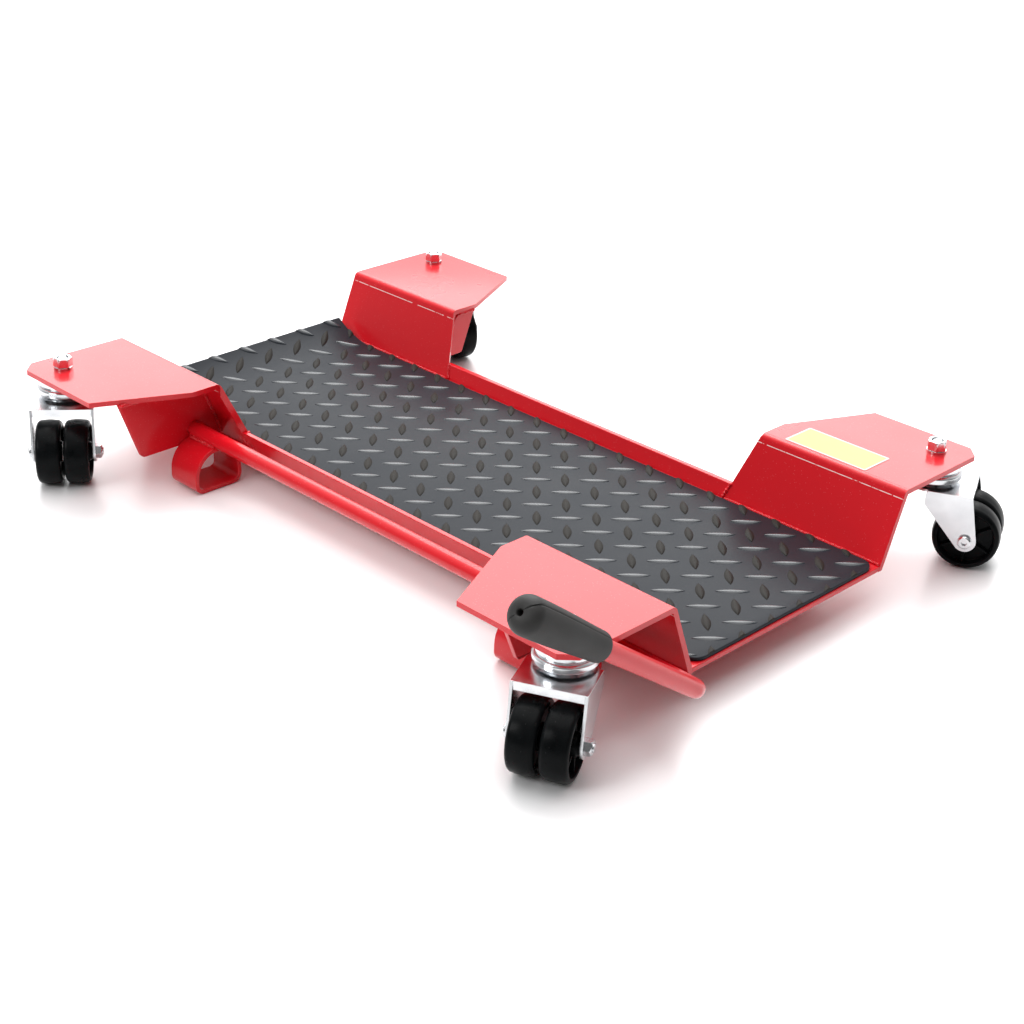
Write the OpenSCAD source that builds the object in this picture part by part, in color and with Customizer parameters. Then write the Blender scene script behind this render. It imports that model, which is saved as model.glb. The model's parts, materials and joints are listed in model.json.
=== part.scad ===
// Low motorcycle mover dolly: a steel tray with a rubber mat, carried between four raised
// brackets on swivel casters with twin wheels, and a lever-worked floor brake on one long side.
// Frame: X runs along the tray, Y across it, Z up from the floor. The origin is on the floor
// at the centre of the tray. Front is the -Y side, where the brake shaft runs.

/* [Tray] */
// Length of the tray and of the whole frame
deck_l = 590; // [520:10:640]
// Width of the tray at its underside
deck_w = 202; // [190:2:220]
// Floor to the underside of the tray
deck_clear = 25; // [24:1:28]
// Thickness of every steel plate
plate_t = 4; // [3:0.5:4]
// Top of the side flanges above the floor
flange_top = 41; // [38:1:46]
// Thickness of the rubber mat
mat_t = 3; // [2:0.5:4]
// Corner radius of the rubber mat
mat_corner_r = 12; // [4:1:20]

/* [Brackets] */
// Top of the brackets above the floor
bracket_top = 82; // [82:1:84]
// Outward run of the inclined wall, from tray edge to bend
wall_run = 22.5; // [18:0.5:26]
// Outside radius of the bend
bend_r = 5; // [4.5:0.5:6]
// Reach of the flat top, from bend to outer edge
top_reach = 96.5; // [94:0.5:100]
// Length of a bracket where its wall meets the tray
wall_l = 145; // [135:1:150]
// Length of a bracket along its bend
bend_l = 128; // [120:1:132]
// Length of the outer edge of a bracket, with the corner it is chamfered by
outer_l = 95; // [90:1:110]
// Straight part of a bracket's inner side edge
side_l = 26; // [20:1:32]
// Chamfer of the outer corner
corner_cut = 10; // [4:1:14]

/* [Casters] */
// Distance of the swivel axes from the centre, along the tray
stud_x = 271; // [268:1:274]
// Distance of the swivel axes from the centre, across the tray
stud_y = 196; // [195:1:198]
// Wheel radius
wheel_r = 25; // [23:0.5:25.5]
// Width of one wheel
wheel_w = 18.75; // [16:0.25:18.75]
// Gap between the two wheels
wheel_gap = 2.5; // [2:0.5:2.5]
// Trail: distance from swivel axis to axle
trail = 31; // [28:0.5:31]
// Top of the fork plate above the floor
fork_top = 60.5; // [60:0.5:61]
// Half width of the fork, outside
fork_half_w = 24.4; // [24.2:0.1:25]
// Rest swivel angle of the front left caster
angle_front_left = -38.6; // [-180:0.2:180]
// Rest swivel angle of the rear left caster
angle_rear_left = -17.6; // [-180:0.2:180]
// Rest swivel angle of the rear right caster
angle_rear_right = 26.4; // [-180:0.2:180]
// Rest swivel angle of the front right caster
angle_front_right = -63.8; // [-180:0.2:180]

/* [Brake] */
// Distance of the brake shaft from the centre line
shaft_y = 133.5; // [132:0.5:134]
// Height of the brake shaft above the floor
shaft_z = 39.9; // [39:0.1:41]
// Radius of the brake shaft
shaft_r = 6.25; // [6:0.05:6.5]
// Position of the lever along the tray
lever_x = 328; // [322:1:330]
// Angle of the lever above the floor at rest
lever_angle = 35.8; // [30:0.2:45]
// Length of the lever from the shaft axis to its tip
lever_l = 202; // [180:1:205]
// Length of the rubber grip
grip_l = 81; // [70:1:100]
// Width of a brake foot along the shaft
foot_w = 32; // [28:1:34]
// Radius of the arch of a brake foot
foot_r = 22; // [20:0.5:23]

/* [Hidden] */
$fn = 48;
ARC_STEPS = 8;
RUN_GAP = 0.06;     // radial clearance of a running fit
BODY_GAP = 0.5;     // gap between faces that move past each other
FIT_GAP = 0.02;     // gap of a fixed fit

// inclined wall and bend
deck_half_l = deck_l / 2;
deck_half_w = deck_w / 2;
wall_h = bracket_top - deck_clear;
wall_slope = wall_run / wall_h;
wall_dir = atan(wall_slope);
wall_t_y = plate_t / cos(wall_dir);
bend_y = deck_half_w + wall_run;
outer_y = bend_y + top_reach;
top_under = bracket_top - plate_t;
deck_top = deck_clear + plate_t;
function wall_in(z) = deck_half_w + wall_slope * (z - deck_clear);
function wall_out(z) = wall_in(z) + wall_t_y;

// gussets: plane of the +X face, and the outline's outer edge
front_gusset_bottom = 29.5;
front_gusset_edge_top = 201;
front_gusset_edge_bottom = 184;
left_gusset_x = -189;
right_gusset_x = 208;
rear_gusset_x = 172;
rear_gusset_bottom = 41;
rear_gusset_edge_top = 149;
rear_gusset_edge_bottom = 136;
right_gusset_edge_top = 195;
right_gusset_edge_bottom = 173;
right_gusset_bottom = 23;
gusset_corner_r = 4;

// swivel stack
stud_r = 4;
shoulder_r = 6;
stud_head_r = 10;
stud_head_t = 2;
dome_h = 2;
dome_top = fork_top + dome_h;
fork_t = 2;
fork_under = fork_top - fork_t;
cup_bottom = dome_top + 0.7;
cup_r = 21;
ring_r = 19.4;
ball_r = 1.6;
ball_circle_r = 13;
ball_count = 14;
race_depth = 3.4;
washer_t = 1.9;
washer_r = 7.3;
nut_af = 13;
nut_h = 7.5;
stud_tip = bracket_top + washer_t + nut_h - 1;     // the stud ends inside its nut

// wheels and axle
axle_r = 3;
axle_z = wheel_r;
collar_r = 5.2;
axle_nut_af = 10;
axle_nut_h = 4.4;
axle_head_r = 5;
axle_head_h = 3;
leg_boss_r = 8.3;
hub_r = 8;
rim_r = 20.5;
recess_depth = 5.5;
inner_recess_depth = 3;
rib_count = 6;
rib_t = 1.8;
shoulder_round = 3.2;
crown = 0.5;
wheel_in = wheel_gap / 2;
wheel_out = wheel_in + wheel_w;

// brake
shaft_end_x = -197;
lever_bend_r = 12;
foot_t = 3.5;
foot_clear = 0.4;
foot_corner_r = 8;
foot_y = shaft_y + 2;
foot_notch = 2;     // how deep the shaft sits in the top of the arch
left_foot_x = left_gusset_x + BODY_GAP;
right_foot_x = right_gusset_x - plate_t - BODY_GAP - foot_w;
grip_tip_r = 11;
grip_neck_r = 9;
grip_edge_r = 7;
grip_tip_wall = 3;

// label blank
label_l = 72;
label_w = 31;
label_t = 0.3;
label_x = 184.5;
label_y = 127.5;

// corner: [name, side along X, side across Y, swivel angle]
CORNERS = [
    ["front_left", -1, -1, angle_front_left],
    ["rear_left", -1, 1, angle_rear_left],
    ["rear_right", 1, 1, angle_rear_right],
    ["front_right", 1, -1, angle_front_right],
];

// points of an arc about (x, y), from angle a0 to angle a1
function arc(x, y, r, a0, a1, n = ARC_STEPS) =
    [for (i = [0 : n]) let (a = a0 + (a1 - a0) * i / n) [x + r * cos(a), y + r * sin(a)]];

// places its children at a corner's swivel axis, turned with the caster
module at_caster(c) {
    translate([c[1] * stud_x, c[2] * stud_y, 0]) rotate([0, 0, c[3]]) children();
}

// turns a YZ outline, given for +Y, into a plate from x to x + t on the side sy
module yz_plate(x, t, sy) {
    flip = sy < 0 ? 1 : 0;
    translate([x, 0, 0]) mirror([0, flip, 0]) rotate([90, 0, 90]) linear_extrude(t) children();
}

// a cylinder from z0 to z1
module post(r, z0, z1) {
    translate([0, 0, z0]) cylinder(r = r, h = z1 - z0);
}

// a hexagonal prism with its across-flats size, chamfered at the top
module hex_nut(af, h) {
    corner_r = af / 2 / cos(30);
    intersection() {
        cylinder(r = corner_r, h = h, $fn = 6);
        rotate_extrude()
            polygon([[0, 0], [corner_r, 0], [corner_r, h - 1.2], [af / 2 - 0.3, h], [0, h]]);
    }
}

// ---- frame

// cross-section of the tray plate: its edges lie against the inclined walls
module tray_section() {
    polygon([[-deck_half_w, deck_clear], [deck_half_w, deck_clear],
             [wall_in(deck_top), deck_top], [-wall_in(deck_top), deck_top]]);
}

// one turned-up side flange, between the two brackets of a side
module side_flange(sy) {
    x0 = deck_half_l - wall_l;
    x1 = x0 + (wall_l - bend_l) * (wall_out(flange_top) - deck_half_w) / wall_run;
    intersection() {
        yz_plate(-deck_half_l, deck_l, sy)
            polygon([[deck_half_w, deck_clear], [wall_out(deck_clear), deck_clear],
                     [wall_out(flange_top), flange_top], [wall_in(flange_top), flange_top]]);
        linear_extrude(bracket_top)
            polygon([[-x0, sy * deck_half_w], [x0, sy * deck_half_w],
                     [x1, sy * wall_out(flange_top)], [-x1, sy * wall_out(flange_top)]]);
    }
}

module deck_tray() {
    color("firebrick") {
        translate([-deck_half_l, 0, 0]) rotate([90, 0, 90]) linear_extrude(deck_l) tray_section();
        side_flange(-1);
        side_flange(1);
    }
}

module rubber_mat() {
    half_l = deck_half_l - 1 - mat_corner_r;
    half_w = deck_half_w - 2.5 - mat_corner_r;
    color("dimgray") translate([0, 0, deck_top]) linear_extrude(mat_t)
        polygon([each arc(half_l, half_w, mat_corner_r, 0, 90),
                 each arc(-half_l, half_w, mat_corner_r, 90, 180),
                 each arc(-half_l, -half_w, mat_corner_r, 180, 270),
                 each arc(half_l, -half_w, mat_corner_r, 270, 360)]);
}

module blank_label() {
    color("khaki") translate([label_x, label_y, bracket_top]) cube([label_l, label_w, label_t]);
}

// YZ cross-section of a bracket for the +Y side: inclined wall, bend and flat top
module bracket_section() {
    touch_z = bracket_top - bend_r * (1 - sin(wall_dir));
    bend_cy = wall_in(touch_z) + bend_r * cos(wall_dir);
    bend_cz = bracket_top - bend_r;
    wall_side = 180 - wall_dir;
    polygon([[deck_half_w, deck_clear],
             each arc(bend_cy, bend_cz, bend_r, wall_side, 90),
             [outer_y, bracket_top], [outer_y, top_under],
             each arc(bend_cy, bend_cz, bend_r - plate_t, 90, wall_side),
             [wall_out(deck_clear), deck_clear]]);
}

// XY outline of a bracket for the +X, +Y corner
module bracket_outline() {
    polygon([[deck_half_l, deck_half_w], [deck_half_l, outer_y - corner_cut],
             [deck_half_l - corner_cut, outer_y], [deck_half_l - outer_l, outer_y],
             [deck_half_l - bend_l, bend_y + side_l], [deck_half_l - bend_l, bend_y],
             [deck_half_l - wall_l, deck_half_w]]);
}

module bracket(c) {
    mirror_x = c[1] < 0 ? 1 : 0;
    mirror_y = c[2] < 0 ? 1 : 0;
    color("crimson") mirror([mirror_x, 0, 0]) mirror([0, mirror_y, 0]) difference() {
        intersection() {
            yz_plate(0, deck_half_l, 1) bracket_section();
            linear_extrude(bracket_top) bracket_outline();
        }
        translate([stud_x, stud_y, 0]) post(stud_r + FIT_GAP, top_under - 1, bracket_top + 1);
    }
}

// YZ outline of a gusset under a bracket: along the wall, the top and a sloping outer edge
module gusset_outline(bottom, edge_top, edge_bottom) {
    lean = atan2(top_under - bottom, edge_top - edge_bottom);
    polygon([[wall_out(bottom), bottom],
             each arc(edge_bottom - gusset_corner_r, bottom + gusset_corner_r, gusset_corner_r,
                      -90, lean - 90),
             [edge_top, top_under], [wall_out(top_under) + 5, top_under],
             [wall_out(top_under - 8), top_under - 8]]);
}

module front_gusset(x, bottom, edge_top, edge_bottom) {
    color("firebrick") difference() {
        yz_plate(x - plate_t, plate_t, -1) gusset_outline(bottom, edge_top, edge_bottom);
        translate([x - 2 * plate_t, -shaft_y, shaft_z]) rotate([0, 90, 0])
            cylinder(r = shaft_r + RUN_GAP, h = 3 * plate_t);
    }
}

module rear_gusset(x) {
    color("firebrick") yz_plate(x - plate_t, plate_t, 1)
        gusset_outline(rear_gusset_bottom, rear_gusset_edge_top, rear_gusset_edge_bottom);
}

// ---- brake

// places its children with X along the shaft and Y along the lever
module at_shaft() {
    translate([0, -shaft_y, shaft_z]) rotate([180 - lever_angle, 0, 0]) children();
}

module brake_shaft() {
    color("crimson") at_shaft() {
        translate([shaft_end_x, 0, 0]) rotate([0, 90, 0])
            cylinder(r = shaft_r, h = lever_x - lever_bend_r - shaft_end_x);
        translate([lever_x - lever_bend_r, lever_bend_r, 0]) rotate([0, 0, -90])
            rotate_extrude(angle = 90) translate([lever_bend_r, 0]) circle(r = shaft_r);
        translate([lever_x, lever_bend_r, 0]) rotate([-90, 0, 0])
            cylinder(r = shaft_r, h = lever_l - grip_tip_wall - lever_bend_r);
    }
}

// half outline of the grip: radius against distance from its neck
module grip_section() {
    tip = grip_l - grip_edge_r;
    polygon([[0, 0], [grip_neck_r - 1.5, 0], [grip_neck_r, 1.5],
             [grip_tip_r - 0.6, grip_l * 0.55],
             each arc(grip_tip_r - grip_edge_r, tip, grip_edge_r, 0, 90),
             [0, grip_l]]);
}

module brake_grip() {
    bore_l = grip_l - grip_tip_wall;
    color("dimgray") at_shaft() translate([lever_x, lever_l - grip_l, 0]) rotate([-90, 0, 0])
        difference() {
            rotate_extrude() grip_section();
            post(shaft_r, -1, bore_l);
            post(2, bore_l - 1, grip_l + 1);
        }
}

// YZ outline of a foot: an arch over straight sides and a flat, round-cornered bottom
module foot_outline(inset) {
    r = foot_r - inset;
    corner = foot_corner_r - inset;
    arch_z = shaft_z - shaft_r + foot_notch - foot_r;
    low = foot_clear + foot_corner_r;
    side = foot_r - foot_corner_r;
    polygon([each arc(foot_y, arch_z, r, 0, 180, 20),
             each arc(foot_y - side, low, corner, 180, 270),
             each arc(foot_y + side, low, corner, 270, 360)]);
}

module brake_foot(x) {
    color("firebrick") difference() {
        yz_plate(x, foot_w, -1) foot_outline(0);
        yz_plate(x - 1, foot_w + 2, -1) foot_outline(foot_t);
        translate([x - 1, -shaft_y, shaft_z]) rotate([0, 90, 0])
            cylinder(r = shaft_r, h = foot_w + 2);
    }
}

// ---- casters

module stud(c) {
    head_top = fork_under - BODY_GAP;
    color("gainsboro") at_caster(c) {
        post(stud_r, fork_top, stud_tip - 1);
        translate([0, 0, stud_tip - 1]) cylinder(r1 = stud_r, r2 = stud_r - 1, h = 1);
        post(shoulder_r, head_top, cup_bottom + race_depth);
        post(stud_head_r, head_top - stud_head_t, head_top);
    }
}

module lock_washer(c) {
    color("silver") at_caster(c) difference() {
        post(washer_r, bracket_top, bracket_top + washer_t);
        post(stud_r + FIT_GAP, bracket_top - 1, bracket_top + washer_t + 1);
        rotate([0, 0, 40]) translate([0, -0.6, bracket_top - 1]) cube([washer_r + 1, 1.2, washer_t + 2]);
    }
}

module stud_nut(c) {
    color("silver") at_caster(c) translate([0, 0, bracket_top + washer_t]) difference() {
        hex_nut(nut_af, nut_h);
        post(stud_r + FIT_GAP, -1, nut_h + 1);
    }
}

// fixed bearing cup: a wide lower ring, a groove and a narrower upper ring
module cup_section() {
    groove_z = cup_bottom + 6.4;
    shoulder_top = cup_bottom + race_depth;
    polygon([[shoulder_r + FIT_GAP, cup_bottom], [ball_circle_r - 3, cup_bottom],
             [ball_circle_r - 3, shoulder_top], [ball_circle_r + 3, shoulder_top],
             [ball_circle_r + 3, cup_bottom], [cup_r - 1, cup_bottom], [cup_r, cup_bottom + 1],
             [cup_r, groove_z - 1.6], [cup_r - 1.6, groove_z], [ring_r - 0.8, groove_z],
             [ring_r - 0.8, groove_z + 0.8], [ring_r, groove_z + 1.4], [ring_r, top_under - 3.4],
             [ring_r - 2.4, top_under - 1.6], [stud_head_r + 2, top_under],
             [stud_r + FIT_GAP, top_under], [stud_r + FIT_GAP, shoulder_top + FIT_GAP],
             [shoulder_r + FIT_GAP, shoulder_top + FIT_GAP]]);
}

module bearing_cup(c) {
    color("gainsboro") at_caster(c) rotate_extrude() cup_section();
}

module bearing_balls(c) {
    color("silver") at_caster(c) for (i = [0 : ball_count - 1])
        rotate([0, 0, i * 360 / ball_count])
            translate([ball_circle_r, 0, cup_bottom + race_depth - ball_r]) sphere(r = ball_r, $fn = 24);
}

// side view of a fork leg in trail (x) and height (y)
module leg_outline() {
    hull() {
        translate([trail, axle_z]) circle(r = leg_boss_r, $fn = 32);
        polygon([[0, fork_top], [-1.2, fork_top - 3], [-1.2, fork_top - 11], [0, fork_top - 12.4],
                 [trail + 1.5, fork_top]]);
    }
}

module fork_leg(side) {
    y0 = side > 0 ? fork_half_w - fork_t : -fork_half_w;
    translate([0, y0 + fork_t, 0]) rotate([90, 0, 0]) linear_extrude(fork_t) leg_outline();
}

module fork(c) {
    front = trail + 1.5;
    inner_half_w = fork_half_w - fork_t;
    lip_h = 6;
    color("gainsboro") at_caster(c) difference() {
        union() {
            intersection() {
                translate([-cup_r, -inner_half_w, fork_under])
                    cube([front + cup_r, 2 * inner_half_w, fork_t]);
                union() {
                    post(cup_r + 1, fork_under, fork_top);
                    translate([0, -fork_half_w, fork_under]) cube([front, 2 * fork_half_w, fork_t]);
                }
            }
            translate([0, 0, fork_top]) cylinder(r1 = cup_r - 1, r2 = ball_circle_r + 3.5, h = dome_h);
            translate([front - fork_t, -inner_half_w, fork_top - lip_h])
                cube([fork_t, 2 * inner_half_w, lip_h - fork_t]);
            fork_leg(-1);
            fork_leg(1);
        }
        post(shoulder_r + RUN_GAP, fork_under - 1, dome_top + 1);
        post(ball_circle_r + 2.4, fork_top + 0.8, dome_top + 1);
        translate([trail, fork_half_w + 1, axle_z]) rotate([90, 0, 0])
            cylinder(r = axle_r + FIT_GAP, h = 2 * fork_half_w + 2);
    }
}

// places its children with Z along the axle, at the middle of the fork
module at_axle(c) {
    at_caster(c) translate([trail, 0, axle_z]) rotate([-90, 0, 0]) children();
}

module axle(c) {
    tip = fork_half_w + axle_nut_h + 1;
    collar_half = wheel_in - 0.4;
    color("silver") at_axle(c) difference() {
        union() {
            post(axle_r, -fork_half_w - 1, tip);
            post(collar_r, -collar_half, collar_half);
            rotate_extrude() polygon([[0, -fork_half_w], [axle_head_r, -fork_half_w],
                [axle_head_r, 1 - fork_half_w - axle_head_h],
                [axle_head_r - 1, -fork_half_w - axle_head_h], [0, -fork_half_w - axle_head_h]]);
        }
        translate([0, 0, -fork_half_w - axle_head_h - 1]) cylinder(r = 2.3, h = 2.8, $fn = 6);
    }
}

module axle_nut(c) {
    color("silver") at_axle(c) translate([0, 0, fork_half_w]) difference() {
        hex_nut(axle_nut_af, axle_nut_h);
        post(axle_r + FIT_GAP, -1, axle_nut_h + 1);
    }
}

// half section of a wheel: radius against distance from the middle of the pair
module wheel_section() {
    bore = axle_r + RUN_GAP;
    flat_r = wheel_r - crown;
    polygon([[bore, wheel_in], [hub_r, wheel_in], [hub_r + 1, wheel_in + inner_recess_depth],
             [rim_r - 1, wheel_in + inner_recess_depth], [rim_r, wheel_in],
             each arc(flat_r - shoulder_round, wheel_in + shoulder_round, shoulder_round, -90, 0),
             [wheel_r, (wheel_in + wheel_out) / 2],
             each arc(flat_r - shoulder_round, wheel_out - shoulder_round, shoulder_round, 0, 90),
             [rim_r + 0.5, wheel_out], [rim_r - 0.5, wheel_out - recess_depth],
             [hub_r + 0.5, wheel_out - recess_depth], [hub_r - 0.5, wheel_out],
             [hub_r - 1.5, wheel_out + 1.6], [bore, wheel_out + 1.6]]);
}

// side is -1 for the wheel at the axle's head and 1 for the one at its nut
module wheel(c, side) {
    flip = side < 0 ? 1 : 0;
    rib_l = rim_r - hub_r;
    rib_h = recess_depth - 1.2;
    color("dimgray") at_axle(c) mirror([0, 0, flip]) {
        rotate_extrude() wheel_section();
        for (i = [0 : rib_count - 1]) rotate([0, 0, i * 360 / rib_count])
            translate([hub_r, -rib_t / 2, wheel_out - recess_depth]) cube([rib_l, rib_t, rib_h]);
    }
}

deck_tray();
rubber_mat();
blank_label();
brake_shaft();
brake_grip();
brake_foot(left_foot_x);  // brake_foot_left
brake_foot(right_foot_x);  // brake_foot_right
front_gusset(left_gusset_x, front_gusset_bottom, front_gusset_edge_top, front_gusset_edge_bottom);  // gusset_front_left
front_gusset(right_gusset_x, right_gusset_bottom, right_gusset_edge_top, right_gusset_edge_bottom);  // gusset_front_right
rear_gusset(plate_t - rear_gusset_x);  // gusset_rear_left
rear_gusset(rear_gusset_x);  // gusset_rear_right
for (c = CORNERS) {
    bracket(c);
    stud(c);
    lock_washer(c);
    stud_nut(c);
    bearing_cup(c);
    bearing_balls(c);
    fork(c);
    axle(c);
    axle_nut(c);
    wheel(c, -1);
    wheel(c, 1);
}
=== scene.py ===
"""Looks of a low motorcycle mover dolly: gloss red steel, ribbed rubber mat, zinc twin-wheel casters."""
import json
import math

import bmesh
import bpy
from mathutils import Matrix, Vector


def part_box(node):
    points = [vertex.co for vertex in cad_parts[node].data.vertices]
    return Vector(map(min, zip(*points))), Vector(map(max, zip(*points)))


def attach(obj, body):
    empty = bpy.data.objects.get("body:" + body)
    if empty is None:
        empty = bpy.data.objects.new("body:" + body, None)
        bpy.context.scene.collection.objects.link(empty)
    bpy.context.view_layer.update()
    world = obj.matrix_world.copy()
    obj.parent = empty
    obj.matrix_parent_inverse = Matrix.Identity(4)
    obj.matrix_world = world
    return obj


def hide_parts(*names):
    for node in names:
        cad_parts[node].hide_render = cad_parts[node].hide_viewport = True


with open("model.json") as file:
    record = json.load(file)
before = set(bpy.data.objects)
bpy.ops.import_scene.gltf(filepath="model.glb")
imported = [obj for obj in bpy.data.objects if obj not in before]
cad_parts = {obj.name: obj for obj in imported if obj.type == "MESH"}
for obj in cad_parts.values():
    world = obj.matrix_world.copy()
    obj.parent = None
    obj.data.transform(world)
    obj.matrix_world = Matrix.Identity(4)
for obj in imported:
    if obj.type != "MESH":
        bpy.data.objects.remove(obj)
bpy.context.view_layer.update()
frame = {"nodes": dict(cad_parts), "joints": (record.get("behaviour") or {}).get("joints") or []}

MM = 0.001
CORNERS = ("front_left", "rear_left", "rear_right", "front_right")


# ---------------------------------------------------------------- measures from the frame

def joint(name):
    return next(j for j in frame["joints"] if j["name"] == name)


tray_low, tray_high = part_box("deck_tray")
mat_low, mat_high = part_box("rubber_mat")
label_low, label_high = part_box("blank_label")
shaft_axis = Vector(joint("brake_turn")["pos_m"])
bracket_low, bracket_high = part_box("bracket_rear_right")
BRACKET_TOP = bracket_high.z
# foot of a bracket's inclined wall, the wall's end nearest the tray's middle, and its outward run to the bend
WALL_FOOT_Y = bracket_low.y
WALL_END_X = bracket_low.x
WALL_RUN = 22.5 * MM
# how far below the bracket's top the painted highlight line runs along the bend
HIGHLIGHT_LINE_DROP = 6.4 * MM


# ---------------------------------------------------------------- mesh helpers

def new_object(name, mesh):
    piece = bpy.data.objects.new(name, mesh)
    bpy.context.scene.collection.objects.link(piece)
    return piece


def object_from(name, verts, faces):
    mesh = bpy.data.meshes.new(name)
    mesh.from_pydata([tuple(v) for v in verts], [], faces)
    mesh.validate()
    return new_object(name, mesh)


def settle(piece):
    """Applies a piece's modifiers, leaving a plain mesh."""
    graph = bpy.context.evaluated_depsgraph_get()
    mesh = bpy.data.meshes.new_from_object(piece.evaluated_get(graph))
    mesh.name = piece.name
    piece.modifiers.clear()
    piece.data = mesh
    return piece


def place(piece, matrix):
    """Moves the piece's mesh, so that its object stays at the origin."""
    piece.data.transform(matrix)
    if matrix.determinant() < 0:
        piece.data.flip_normals()
    return piece


def face_outwards(piece, merge=1e-6):
    work = bmesh.new()
    work.from_mesh(piece.data)
    bmesh.ops.remove_doubles(work, verts=work.verts, dist=merge)
    bmesh.ops.recalc_face_normals(work, faces=work.faces)
    work.to_mesh(piece.data)
    work.free()
    return piece


def smooth(piece, angle=35):
    piece.data.shade_smooth()
    piece.data.set_sharp_from_angle(angle=math.radians(angle))
    return piece


def bevel(piece, width, segments=2, angle=28):
    mod = piece.modifiers.new("edge", "BEVEL")
    mod.width = width
    mod.segments = segments
    mod.limit_method = "ANGLE"
    mod.angle_limit = math.radians(angle)
    return piece


def finish_piece(piece, body, slot, material, *nodes):
    piece.data.materials.clear()
    piece.data.materials.append(material)
    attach(piece, body)
    if nodes:
        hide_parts(*nodes)
    return piece


def softened(node, width, segments=2, angle=28):
    """A copy of a CAD node's mesh, merged, with its sharp edges rounded as a made part's are."""
    mesh = frame["nodes"][node].data.copy()
    work = bmesh.new()
    work.from_mesh(mesh)
    bmesh.ops.remove_doubles(work, verts=work.verts, dist=2e-6)
    bmesh.ops.dissolve_limit(work, angle_limit=math.radians(0.4), verts=work.verts, edges=work.edges)
    work.to_mesh(mesh)
    work.free()
    piece = new_object(node + "_finished", mesh)
    bevel(piece, width, segments, angle)
    flat = piece.modifiers.new("flat", "WEIGHTED_NORMAL")
    flat.keep_sharp = True
    piece.data.shade_smooth()
    settle(piece)
    return piece


def lathe(name, outline, steps):
    """Spins (radius, height) points about Z into a closed shell."""
    verts = []
    faces = []
    count = len(outline)
    for i in range(steps):
        a = 2 * math.pi * i / steps
        verts += [Vector((r * math.cos(a), r * math.sin(a), h)) for r, h in outline]
    for i in range(steps):
        j = (i + 1) % steps
        for k in range(count):
            n = (k + 1) % count
            faces.append((i * count + k, j * count + k, j * count + n, i * count + n))
    piece = object_from(name, verts, faces)
    return face_outwards(piece)


def arc(cx, cy, r, a0, a1, steps=6):
    angles = [math.radians(a0 + (a1 - a0) * i / steps) for i in range(steps + 1)]
    return [(cx + r * math.cos(a), cy + r * math.sin(a)) for a in angles]


def prism(name, outline, low_z, high_z):
    count = len(outline)
    verts = [(x, y, z) for z in (low_z, high_z) for x, y in outline]
    faces = [tuple(range(count - 1, -1, -1)), tuple(range(count, 2 * count))]
    faces += [(i, (i + 1) % count, count + (i + 1) % count, count + i) for i in range(count)]
    return object_from(name, verts, faces)


def band(ring_a, ring_b, sides):
    """Faces between two rings of a stack whose rings have that many vertices each."""
    return [(ring_a * sides + i, ring_a * sides + (i + 1) % sides,
             ring_b * sides + (i + 1) % sides, ring_b * sides + i) for i in range(sides)]


def join_meshes(name, pieces):
    """Joins pieces into one mesh."""
    work = bmesh.new()
    for piece in pieces:
        work.from_mesh(piece.data)
        bpy.data.objects.remove(piece)
    mesh = bpy.data.meshes.new(name)
    work.to_mesh(mesh)
    work.free()
    return new_object(name, mesh)


# ---------------------------------------------------------------- shader groups

def group(name, inputs, outputs):
    tree = bpy.data.node_groups.new(name, "ShaderNodeTree")
    for label, default in inputs:
        socket = tree.interface.new_socket(label, in_out="INPUT", socket_type="NodeSocketFloat")
        socket.default_value = default
    for label in outputs:
        tree.interface.new_socket(label, in_out="OUTPUT", socket_type="NodeSocketFloat")
    entry = tree.nodes.new("NodeGroupInput")
    leave = tree.nodes.new("NodeGroupOutput")
    return tree, entry, leave


def noise_node(tree, scale, detail=4.0, roughness=0.55):
    node = tree.nodes.new("ShaderNodeTexNoise")
    node.inputs["Scale"].default_value = scale
    node.inputs["Detail"].default_value = detail
    node.inputs["Roughness"].default_value = roughness
    return node


def spread(tree, source, low, high, to_low=0.0, to_high=1.0):
    """Maps source from low..high to to_low..to_high, held at its ends."""
    node = tree.nodes.new("ShaderNodeMapRange")
    node.inputs["From Min"].default_value = low
    node.inputs["From Max"].default_value = high
    node.inputs["To Min"].default_value = to_low
    node.inputs["To Max"].default_value = to_high
    tree.links.new(source, node.inputs["Value"])
    return node.outputs["Result"]


def math_node(tree, kind, *values):
    node = tree.nodes.new("ShaderNodeMath")
    node.operation = kind
    for socket, value in zip(node.inputs, values):
        if isinstance(value, (int, float)):
            socket.default_value = value
        else:
            tree.links.new(value, socket)
    return node.outputs[0]


def grain_group():
    """Two sizes of noise on Object coordinates: Height for a bump, Cloud for slow colour change."""
    tree, entry, leave = group("surface grain", [("Fine Scale", 900.0), ("Broad Scale", 12.0)],
                               ["Height", "Cloud"])
    place_node = tree.nodes.new("ShaderNodeTexCoord")
    fine = noise_node(tree, 1.0, 3.0)
    broad = noise_node(tree, 1.0, 4.0)
    tree.links.new(place_node.outputs["Object"], fine.inputs["Vector"])
    tree.links.new(place_node.outputs["Object"], broad.inputs["Vector"])
    tree.links.new(entry.outputs["Fine Scale"], fine.inputs["Scale"])
    tree.links.new(entry.outputs["Broad Scale"], broad.inputs["Scale"])
    tree.links.new(fine.outputs["Fac"], leave.inputs["Height"])
    tree.links.new(spread(tree, broad.outputs["Fac"], 0.3, 0.7), leave.inputs["Cloud"])
    return tree


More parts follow.
